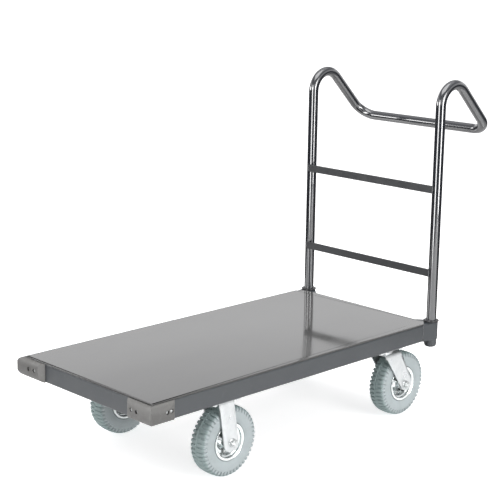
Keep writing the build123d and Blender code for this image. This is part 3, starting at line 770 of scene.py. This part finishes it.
RIM_SECTION = [
    (29.6, 57.4, 0.6),
    (28.9, 56.4, 1.0),
    (28.4, 49.6, 3.4),
    (20.9, 48.8, 1.4),
    (19.0, 43.5, 3.0),
    (2.0, 43.5, 3.6),
    (2.0, 31.0, 5.0),
    (13.4, 19.5, 3.0),
    (28.0, 19.5, 0.6),
    (28.0, 17.5, 0.5),
    (12.5, 17.5, 0.8),
    (0.0, 30.0, 2.0),
    (0.0, 45.5, 2.0),
    (18.0, 45.5, 1.2),
    (20.5, 50.8, 1.0),
    (27.5, 51.5, 1.2),
    (27.5, 56.8, 0.8),
    (28.8, 58.4, 0.6),
]
RIM_RIBS = 12


def build_rim(name, half, centre, outward):
    """One pressed half of the rim: rolled lip, bead seat, well, web, ribbed cone and hub cup."""
    corners = [(r * MM, x * MM) for x, r, _ in RIM_SECTION]
    loop = rounded(corners, [radius * MM for _, _, radius in RIM_SECTION], radians(12))

    def ribs(angle, radius, height):
        """Raises the cone's outer face into ribs."""
        cone = smooth(20, 23, radius / MM) * (1 - smooth(29, 33, radius / MM))
        wave = max(0.0, cos(RIM_RIBS * angle)) ** 2
        return radius, height + 0.7 * MM * cone * wave * (height > 0.5 * MM)

    shape = Shape()
    shape.lathe(loop, facing(centre, outward), RIM_RIBS * 12, ribs)
    body = f"{name}_wheel"
    shape.piece(f"{name}_rim_{half}_finished", body, "chromed_rim", [f"{name}_rim_{half}"], sharp=30)


RIM_BOLTS = 4
RIM_BOLT_CIRCLE = 37.6 * MM
RIM_BOLT_RADIUS = 2.9 * MM
RIM_BOLT_PITCH = 1.0 * MM
RIM_NUT_FLATS = 10 * MM
WEB_HALF = 2.0 * MM


def build_rim_bolts(name, centre, outward):
    """The bolts that hold the rim halves together through the web."""
    shape = Shape()
    outward = Vector(outward)
    washer = rounded([(0, 0), (6.2, 0), (6.2, 1.1), (0, 1.1)], [0, 0, 0.3, 0])
    head = [(1.1 * MM, 7 * MM), (4.3 * MM, 7 * MM), (5.1 * MM, 4.9 * MM)]
    for k in range(RIM_BOLTS):
        angle = 2 * pi * k / RIM_BOLTS
        spot = centre + Vector((cos(angle), 0, sin(angle))) * RIM_BOLT_CIRCLE
        for way in (1, -1):
            place = facing(spot + outward * WEB_HALF * way, outward * way)
            shape.lathe(in_metres(washer), place, 32)
            shape.hexagon(RIM_NUT_FLATS, head, place)
        tip = facing(spot - outward * WEB_HALF, -outward)
        shape.lathe(thread_loop(RIM_BOLT_RADIUS, 5.0 * MM, 7.4 * MM, RIM_BOLT_PITCH), tip, 24)
    shape.piece(f"{name}_rim_bolts", f"{name}_wheel", "zinc_fastener")


def thread_loop(radius, low, high, pitch):
    """Section of a threaded end, from low to high, with a chamfered tip."""
    depth = 0.3 * pitch
    loop = [(0, low), (radius, low)]
    turns = max(1, int((high - low - pitch) / pitch))
    for k in range(turns):
        loop.append((radius, low + (k + 0.25) * pitch))
        loop.append((radius - depth, low + (k + 0.75) * pitch))
    loop += [(radius, high - pitch * 0.8), (radius - 1.2 * depth, high), (0, high)]
    return loop


HUB_HALF = 27.5 * MM
SPACER_START = 27.8 * MM


def build_bearing(name, centre):
    """Both ball bearings of a wheel: ground rings, and rubber seals set between them."""
    rings, seals = Shape(), Shape()
    outer_ring = [(14.6, 0), (17.5, 0), (17.5, -11), (14.6, -11)]
    inner_ring = [(7.5, 0), (10.2, 0), (10.2, -11), (7.5, -11)]
    seal = [(10.3, -0.9), (10.9, -0.45), (12.2, -0.9), (13.6, -0.9), (14.1, -0.4), (14.5, -0.7)]
    seal += [(14.5, -10.2), (10.3, -10.2)]
    for way in (-1, 1):
        place = facing(centre + Vector((0, way * HUB_HALF, 0)), (0, way, 0))
        for section in (outer_ring, inner_ring):
            loop = rounded(in_metres(section), [0.5 * MM] * 4, radians(30))
            rings.lathe(loop, place, 64)
        seals.lathe(in_metres(seal), place, 64)
    rings.piece(f"{name}_bearing_rings", f"{name}_wheel", "bearing_steel", [f"{name}_bearings"])
    seals.piece(f"{name}_bearing_seals", f"{name}_wheel", "tube_rubber")


VALVE_ANGLE = radians(-50)
VALVE_OFFSET = 12 * MM
TUBE_RING = 76
TUBE_SECTION = 24.3


def build_inner_tube(name, centre, side):
    """The inner tube, its rubber valve stem, and the plated valve with its knurled cap."""
    rubber, metal = Shape(), Shape()
    turns = np.linspace(0, 2 * pi, 33)[:-1]
    tube = [(TUBE_RING + TUBE_SECTION * cos(a), TUBE_SECTION * sin(a)) for a in turns]
    rubber.lathe(in_metres(tube), facing(centre, (0, side, 0)), 72)
    spoke = Vector((cos(VALVE_ANGLE), 0, sin(VALVE_ANGLE)))
    foot = centre + Vector((0, side * VALVE_OFFSET, 0))
    place = facing(foot, spoke)
    stem = [(0, 56), (4.2, 56), (4.2, 45.6), (4.1, 44.0), (3.5, 42.6), (3.3, 40.4), (0, 40.4)]
    rubber.lathe(in_metres(stem), place, 32)
    barrel = [(0, 41.5), (2.7, 41.5), (2.7, 38.6), (3.6, 38.4), (3.9, 37.6)]
    barrel += [(3.9, 34.0), (3.3, 33.2), (0, 33.0)]

    def knurl(angle, radius, height):
        """Flutes round the cap, for fingers to grip."""
        grip = smooth(33.6, 34.2, height / MM) * (1 - smooth(37.6, 38.2, height / MM))
        return radius * (1 + 0.05 * grip * cos(16 * angle)), height

    metal.lathe(in_metres(barrel), place, 96, knurl)
    rubber.piece(f"{name}_inner_tube_finished", f"{name}_wheel", "tube_rubber", [f"{name}_inner_tube"])
    metal.piece(f"{name}_valve", f"{name}_wheel", "zinc_fastener")


wheel_centres = {}
for wheel in ("left_front", "right_front", "left_rear", "right_rear"):
    low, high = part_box(f"{wheel}_tyre")
    wheel_centres[wheel] = (low + high) / 2
    wheel_radius = (high.z - low.z) / 2
for wheel, centre in wheel_centres.items():
    side = 1 if centre.y > 0 else -1
    build_tyre(wheel, centre)
    build_rim(wheel, "outer", centre, (0, side, 0))
    build_rim(wheel, "inner", centre, (0, -side, 0))
    build_rim_bolts(wheel, centre, (0, side, 0))
    build_bearing(wheel, centre)
    build_inner_tube(wheel, centre, side)


# ================================================================ axles
# From the middle of a wheel to the outer face of either fork leg
LEG_OUTER = 41 * MM
AXLE_RADIUS = 7.5 * MM
AXLE_FLATS = 24 * MM
AXLE_PITCH = 1.75 * MM


def build_axle(centres, body, bolts, nuts, spacers):
    """Axle bolts with chamfered heads, flanged lock nuts with a nylon ring, and spacers."""
    bolt, nut, spacer = Shape(), Shape(), Shape()
    for centre in centres:
        side = 1 if centre.y > 0 else -1
        inboard = facing(centre - Vector((0, side * LEG_OUTER, 0)), (0, -side, 0))
        outboard = facing(centre + Vector((0, side * LEG_OUTER, 0)), (0, side, 0))
        head = [(0, 13.0 * MM), (0.6 * MM, 14 * MM), (7.6 * MM, 14 * MM), (9.5 * MM, 11.6 * MM)]
        bolt.hexagon(AXLE_FLATS, head, inboard)
        shank = [(0, -2 * LEG_OUTER), (AXLE_RADIUS, -2 * LEG_OUTER), (AXLE_RADIUS, 0), (0, 0)]
        bolt.lathe(shank, inboard, 48)
        bolt.lathe(thread_loop(AXLE_RADIUS, 0, 14.5 * MM, AXLE_PITCH), outboard, 48)
        flange = rounded([(7.6, 0), (14, 0), (14, 1.6), (12.2, 2.5), (7.6, 2.5)], [0, 0.2, 0.6, 0.4, 0])
        nut.lathe(in_metres(flange), outboard, 64)
        levels = [(2.4 * MM, 14 * MM), (8.0 * MM, 14 * MM), (9.3 * MM, 12.0 * MM)]
        nut.hexagon(AXLE_FLATS, levels, outboard, bore=7.6 * MM)
        collar = rounded([(7.7, 9.2), (11.4, 9.2), (11.0, 12.0), (7.7, 12.0)], [0, 0, 1.0, 0.5])
        nut.lathe(in_metres(collar), outboard, 64)
        for end in (-1, 1):
            place = facing(centre + Vector((0, end * SPACER_START, 0)), (0, end, 0))
            ring = rounded([(7.55, 0), (9, 0), (9, 9.2), (7.55, 9.2)], [0.2, 0.3, 0.3, 0.2], radians(45))
            spacer.lathe(in_metres(ring), place, 48)
    bolt.piece(f"{bolts}_finished", body, "zinc_fastener", [bolts])
    nut.piece(f"{nuts}_finished", body, "zinc_fastener", [nuts])
    spacer.piece(f"{spacers}_finished", body, "zinc_fastener", [spacers])


front_centres = [wheel_centres["left_front"], wheel_centres["right_front"]]
build_axle(front_centres, "chassis", "front_axle_bolts", "front_axle_nuts", "front_axle_spacers")
for label in sides:
    names = [f"{label}_rear_axle_{part}" for part in ("bolt", "nut", "spacers")]
    build_axle([wheel_centres[f"{label}_rear"]], f"{label}_swivel", *names)


# ================================================================ fasteners
CASTER_HOLES_X = 46 * MM
CASTER_HOLES_Y = 33 * MM
CASTER_PLATE_HALF = 57 * MM
CASTER_BOLT_RADIUS = 4.95 * MM
CASTER_BOLT_FLATS = 16 * MM
CASTER_BOLT_HEAD = 6.4 * MM
CASTER_BOLT_PITCH = 1.5 * MM
SHANK_LENGTH = 9 * MM


def build_caster_fasteners():
    """Hex bolts up through each caster plate, and nuts with washers inside the frame."""
    bolts, nuts = Shape(), Shape()
    z_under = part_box("caster_bolts")[0].z + CASTER_BOLT_HEAD
    z_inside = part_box("caster_nuts")[0].z
    radius = CASTER_BOLT_RADIUS
    head = [(0, 9.3 * MM), (5.4 * MM, 9.3 * MM), (CASTER_BOLT_HEAD, 7.7 * MM)]
    shank = [(0, -SHANK_LENGTH), (radius, -SHANK_LENGTH), (radius, 0), (0, 0)]
    thread = thread_loop(radius, 0.0, 12.4 * MM, CASTER_BOLT_PITCH)
    body = [(0, 7.7 * MM), (0.8 * MM, 9.3 * MM), (7 * MM, 9.3 * MM), (8 * MM, 7.7 * MM)]
    for plate in ("left_front_fork", "right_front_fork", "left_swivel_plate", "right_swivel_plate"):
        low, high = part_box(plate)
        x_middle = low.x + CASTER_PLATE_HALF if "fork" in plate else (low.x + high.x) / 2
        y_middle = (low.y + high.y) / 2
        for dx in (-CASTER_HOLES_X, CASTER_HOLES_X):
            for dy in (-CASTER_HOLES_Y, CASTER_HOLES_Y):
                spot = Vector((x_middle + dx, y_middle + dy, 0))
                below = facing(spot + Vector((0, 0, z_under)), (0, 0, -1))
                above = facing(spot + Vector((0, 0, z_inside)), (0, 0, 1))
                bolts.hexagon(CASTER_BOLT_FLATS, head, below)
                bolts.lathe(shank, below, 32)
                bolts.lathe(thread, above, 32)
                nuts.hexagon(CASTER_BOLT_FLATS, body, above, bore=5.0 * MM)
    bolts.piece("caster_bolts_finished", "chassis", "zinc_fastener", ["caster_bolts"])
    nuts.piece("caster_nuts_finished", "chassis", "zinc_fastener", ["caster_nuts"])


build_caster_fasteners()

BUMPER_FRONT_SCREWS = (43.5, 69.0)
BUMPER_SIDE_SCREWS = (42.0, 59.0)
SCREW_SEAT = 12 * MM
z_screw = (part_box("bumper_screws")[0].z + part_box("bumper_screws")[1].z) / 2


def build_bumper_screws():
    """Pan-head screws with a six-lobe recess, set deep in the bumpers."""
    shape = Shape()
    head = [(0, 1.6), (1.5, 1.6), (1.7, 3.3), (2.6, 3.5), (3.6, 3.1), (4.25, 2.1), (4.4, 0.4), (4.2, 0)]
    head += [(2.3, 0), (2.3, -26), (0, -26)]

    def recess(angle, radius, height):
        """Six lobes round the driver's recess."""
        depth = 0.13 if radius < 2 * MM and height > 1 * MM else 0.0
        return radius * (1 + depth * cos(6 * angle)), height

    screw = in_metres(head)
    for side in sides.values():
        for distance in BUMPER_FRONT_SCREWS:
            spot = (x_front - SCREW_SEAT, side * (y_side - distance * MM), z_screw)
            shape.lathe(screw, facing(spot, (-1, 0, 0)), 36, recess)
        for distance in BUMPER_SIDE_SCREWS:
            spot = (x_front + distance * MM, side * (y_side + SCREW_SEAT), z_screw)
            shape.lathe(screw, facing(spot, (0, side, 0)), 36, recess)
    shape.piece("bumper_screws_finished", "chassis", "zinc_fastener", ["bumper_screws"])


build_bumper_screws()


# ================================================================ welds
# The rungs' front edges meet the posts this far in from the posts' axes
RUNG_INSET = 4 * MM
SLEEVE_RADIUS = 20.3 * MM
SEAM_END = 2 * MM
RUNG_SEAM_END = 1 * MM
SEAM_SINK = 0.4 * MM
STRAP_END = 1.5 * MM
SIDE_SEAM, STRAP_SEAM, RUNG_SEAM = 1.9 * MM, 1.7 * MM, 1.7 * MM
CAP_SEAM, MEMBER_SEAM = 1.1 * MM, 2.0 * MM
MEMBER_SEAM_END = 12 * MM


def build_welds():
    """Fillet welds at the rungs, the socket straps, the caps and the cross members."""
    rungs, sockets, frame_welds = Shape(), Shape(), Shape()
    for rung in ("lower_rung", "upper_rung"):
        low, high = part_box(rung)
        back = TUBE_RADIUS * sqrt(max(0.0, 1 - min(1.0, (x_post - high.x) / TUBE_RADIUS) ** 2))
        for side in sides.values():
            for x, inward in ((low.x, RUNG_INSET), (high.x, back)):
                y = side * (y_post - inward)
                seam = [(x, y, low.z + RUNG_SEAM_END), (x, y, high.z - RUNG_SEAM_END)]
                rungs.bead(seam, RUNG_SEAM)
    strap_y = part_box("left_socket_strap")[1].y
    seam_low, seam_high = z_frame + SEAM_END, z_plate - SEAM_END
    for side in sides.values():
        y = side * (y_web - SEAM_SINK)
        sockets.bead([(side_end, y, seam_low), (side_end, y, seam_high)], SIDE_SEAM)
        y = side * abs(strap_y)
        x = x_rear - STRAP_END
        sockets.bead([(x, y, seam_low), (x, y, seam_high)], STRAP_SEAM)
        ring = [
            (x_post + SLEEVE_RADIUS * cos(a), side * y_post + SLEEVE_RADIUS * sin(a), sleeve_low.z)
            for a in np.linspace(0, 2 * pi, 49)
        ]
        sockets.bead(ring, CAP_SEAM)
    for node in ("front_crossmember", "rear_crossmember"):
        low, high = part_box(node)
        x_first, x_last = low.x + MEMBER_SEAM_END, high.x - MEMBER_SEAM_END
        for side in sides.values():
            y = side * high.y
            frame_welds.bead([(x_first, y, z_frame), (x_last, y, z_frame)], MEMBER_SEAM)
    rungs.piece("rung_welds", "chassis", "rung_satin", look=weld_look, sharp=80)
    sockets.piece("socket_welds", "chassis", "frame_grey", look=weld_look, sharp=80)
    frame_welds.piece("crossmember_welds", "chassis", "frame_grey", look=weld_look, sharp=80)


build_welds()


# ================================================================ stage, light and camera
def build_floor():
    """A wide pale floor. Only a sheet round the truck shows in reflections, so that glossy tube
    keeps its dark edges."""
    look = bpy.data.materials.new("pale_floor")
    look.use_nodes = True
    shader = look.node_tree.nodes["Principled BSDF"]
    shader.inputs["Base Color"].default_value = (0.88, 0.88, 0.88, 1)
    shader.inputs["Roughness"].default_value = 0.8
    shader.inputs["Specular IOR Level"].default_value = 0.1
    shader.inputs["Emission Color"].default_value = (1, 1, 1, 1)
    shader.inputs["Emission Strength"].default_value = 0.6
    # (x and y reach, height, seen in reflections)
    sheets = {
        "floor_left": ((-1.7, 1.3), (-3.5, -0.33), 0.0, True),
        "floor_under": ((-1.7, 0.55), (-0.33, 1.5), 0.0, True),
        "floor_far": ((-90, 90), (-90, 90), -0.5 * MM, False),
    }
    for name, (reach_x, reach_y, height, reflected) in sheets.items():
        (x_low, x_high), (y_low, y_high) = reach_x, reach_y
        outline = [(x_low, y_low), (x_high, y_low), (x_high, y_high), (x_low, y_high)]
        corners = [(x, y, height) for x, y in outline]
        mesh = bpy.data.meshes.new(name)
        mesh.from_pydata(corners, [], [(0, 1, 2, 3)])
        mesh.materials.append(look)
        floor = bpy.data.objects.new(name, mesh)
        scene.collection.objects.link(floor)
        floor.visible_glossy = reflected
        floor.visible_diffuse = False


def softbox(name, place, target, width, height, radiance):
    """An area light of a given radiance, facing a target."""
    light = bpy.data.lights.new(name, "AREA")
    light.shape = "RECTANGLE"
    light.size, light.size_y = width, height
    light.energy = radiance * pi * width * height
    obj = bpy.data.objects.new(name, light)
    scene.collection.objects.link(obj)
    aim = Vector(target) - Vector(place)
    obj.visible_camera = False
    obj.location = place
    obj.rotation_euler = aim.to_track_quat("-Z", "Y").to_euler()
    return obj


def build_light():
    """White to the eye. Surfaces see a studio: a light backdrop low down, a dark band over
    it, soft lights overhead, ahead and to the left, and strips that only reflections show."""
    world = bpy.data.worlds.new("studio")
    scene.world = world
    world.use_nodes = True
    tree = world.node_tree
    tree.nodes.clear()
    place = tree.nodes.new("ShaderNodeTexCoord").outputs["Generated"]
    split = tree.nodes.new("ShaderNodeSeparateXYZ")
    tree.links.new(place, split.inputs[0])
    span = tree.nodes.new("ShaderNodeMapRange")
    span.inputs["From Min"].default_value = -1
    tree.links.new(split.outputs["Z"], span.inputs["Value"])
    ramp = tree.nodes.new("ShaderNodeValToRGB")
    tree.links.new(span.outputs["Result"], ramp.inputs["Fac"])
    # (sine of the elevation, brightness)
    ground = [(-1.0, 0.9), (-0.45, 0.8), (-0.3, 0.07), (0.0, 0.07)]
    backdrop = [(0.05, 0.8), (0.2, 1.1), (0.27, 1.4), (0.37, 1.3)]
    ceiling = [(0.46, 0.5), (0.72, 0.5), (0.82, 1.2)]
    stops = ground + backdrop + ceiling
    ramp.color_ramp.elements[1].position = (stops[-1][0] + 1) / 2
    for height, _ in stops[1:-1]:
        ramp.color_ramp.elements.new((height + 1) / 2)
    for stop, (height, bright) in zip(ramp.color_ramp.elements, stops):
        stop.color = (bright, bright, bright * 1.01, 1)
    surround = tree.nodes.new("ShaderNodeBackground")
    tree.links.new(ramp.outputs["Color"], surround.inputs["Color"])
    white = tree.nodes.new("ShaderNodeBackground")
    white.inputs["Color"].default_value = (1, 1, 1, 1)
    seen = tree.nodes.new("ShaderNodeLightPath")
    mix = tree.nodes.new("ShaderNodeMixShader")
    tree.links.new(seen.outputs["Is Camera Ray"], mix.inputs["Fac"])
    tree.links.new(surround.outputs[0], mix.inputs[1])
    tree.links.new(white.outputs[0], mix.inputs[2])
    out = tree.nodes.new("ShaderNodeOutputWorld")
    tree.links.new(mix.outputs[0], out.inputs["Surface"])
    softbox("overhead", (-0.3, -0.2, 3.4), (-0.1, 0, 0.3), 2.6, 2.2, 3.0)
    softbox("left_key", (0.1, -3.6, 2.0), (0.1, 0.0, 0.3), 2.0, 1.4, 7.0)
    softbox("front_key", (-3.3, -0.2, 2.0), (-0.4, 0.0, 0.3), 1.6, 1.2, 4.5)
    strips = [
        softbox("front_strip", (-1.75, -0.35, 0.8), (0.49, 0.0, 0.8), 0.9, 1.6, 9.5),
        softbox("left_strip", (0.10, -3.75, 0.8), (0.30, 0.0, 0.8), 1.3, 1.6, 14.0),
        softbox("right_strip", (-1.6, 2.6, 1.35), (0.757, 0.0, 0.95), 1.4, 0.7, 9.0),
    ]
    for strip in strips:
        strip.visible_diffuse = False


CAMERA_PLACE = Vector((-3.0120, -2.9812, 1.5631))
CAMERA_YAW, CAMERA_PITCH, CAMERA_ROLL = radians(45.598), radians(13.087), radians(0.823)
CAMERA_LENS = 96.83
SENSOR_WIDTH = 36


def build_camera():
    """The camera stands ahead of the truck's left front corner, at eye height."""
    level = cos(CAMERA_PITCH)
    ahead = Vector((level * cos(CAMERA_YAW), level * sin(CAMERA_YAW), -sin(CAMERA_PITCH)))
    right = ahead.cross(Vector((0, 0, 1))).normalized()
    up = right.cross(ahead)
    tilted_right = right * cos(CAMERA_ROLL) + up * sin(CAMERA_ROLL)
    tilted_up = up * cos(CAMERA_ROLL) - right * sin(CAMERA_ROLL)
    camera = bpy.data.objects.new("camera", bpy.data.cameras.new("camera"))
    turn = Matrix((tilted_right, tilted_up, -ahead)).transposed()
    camera.matrix_world = Matrix.Translation(CAMERA_PLACE) @ turn.to_4x4()
    camera.data.sensor_width = SENSOR_WIDTH
    camera.data.lens = CAMERA_LENS
    camera.data.clip_end = 500
    scene.collection.objects.link(camera)
    scene.camera = camera


build_floor()
build_light()
build_camera()
scene.view_settings.view_transform = "Standard"
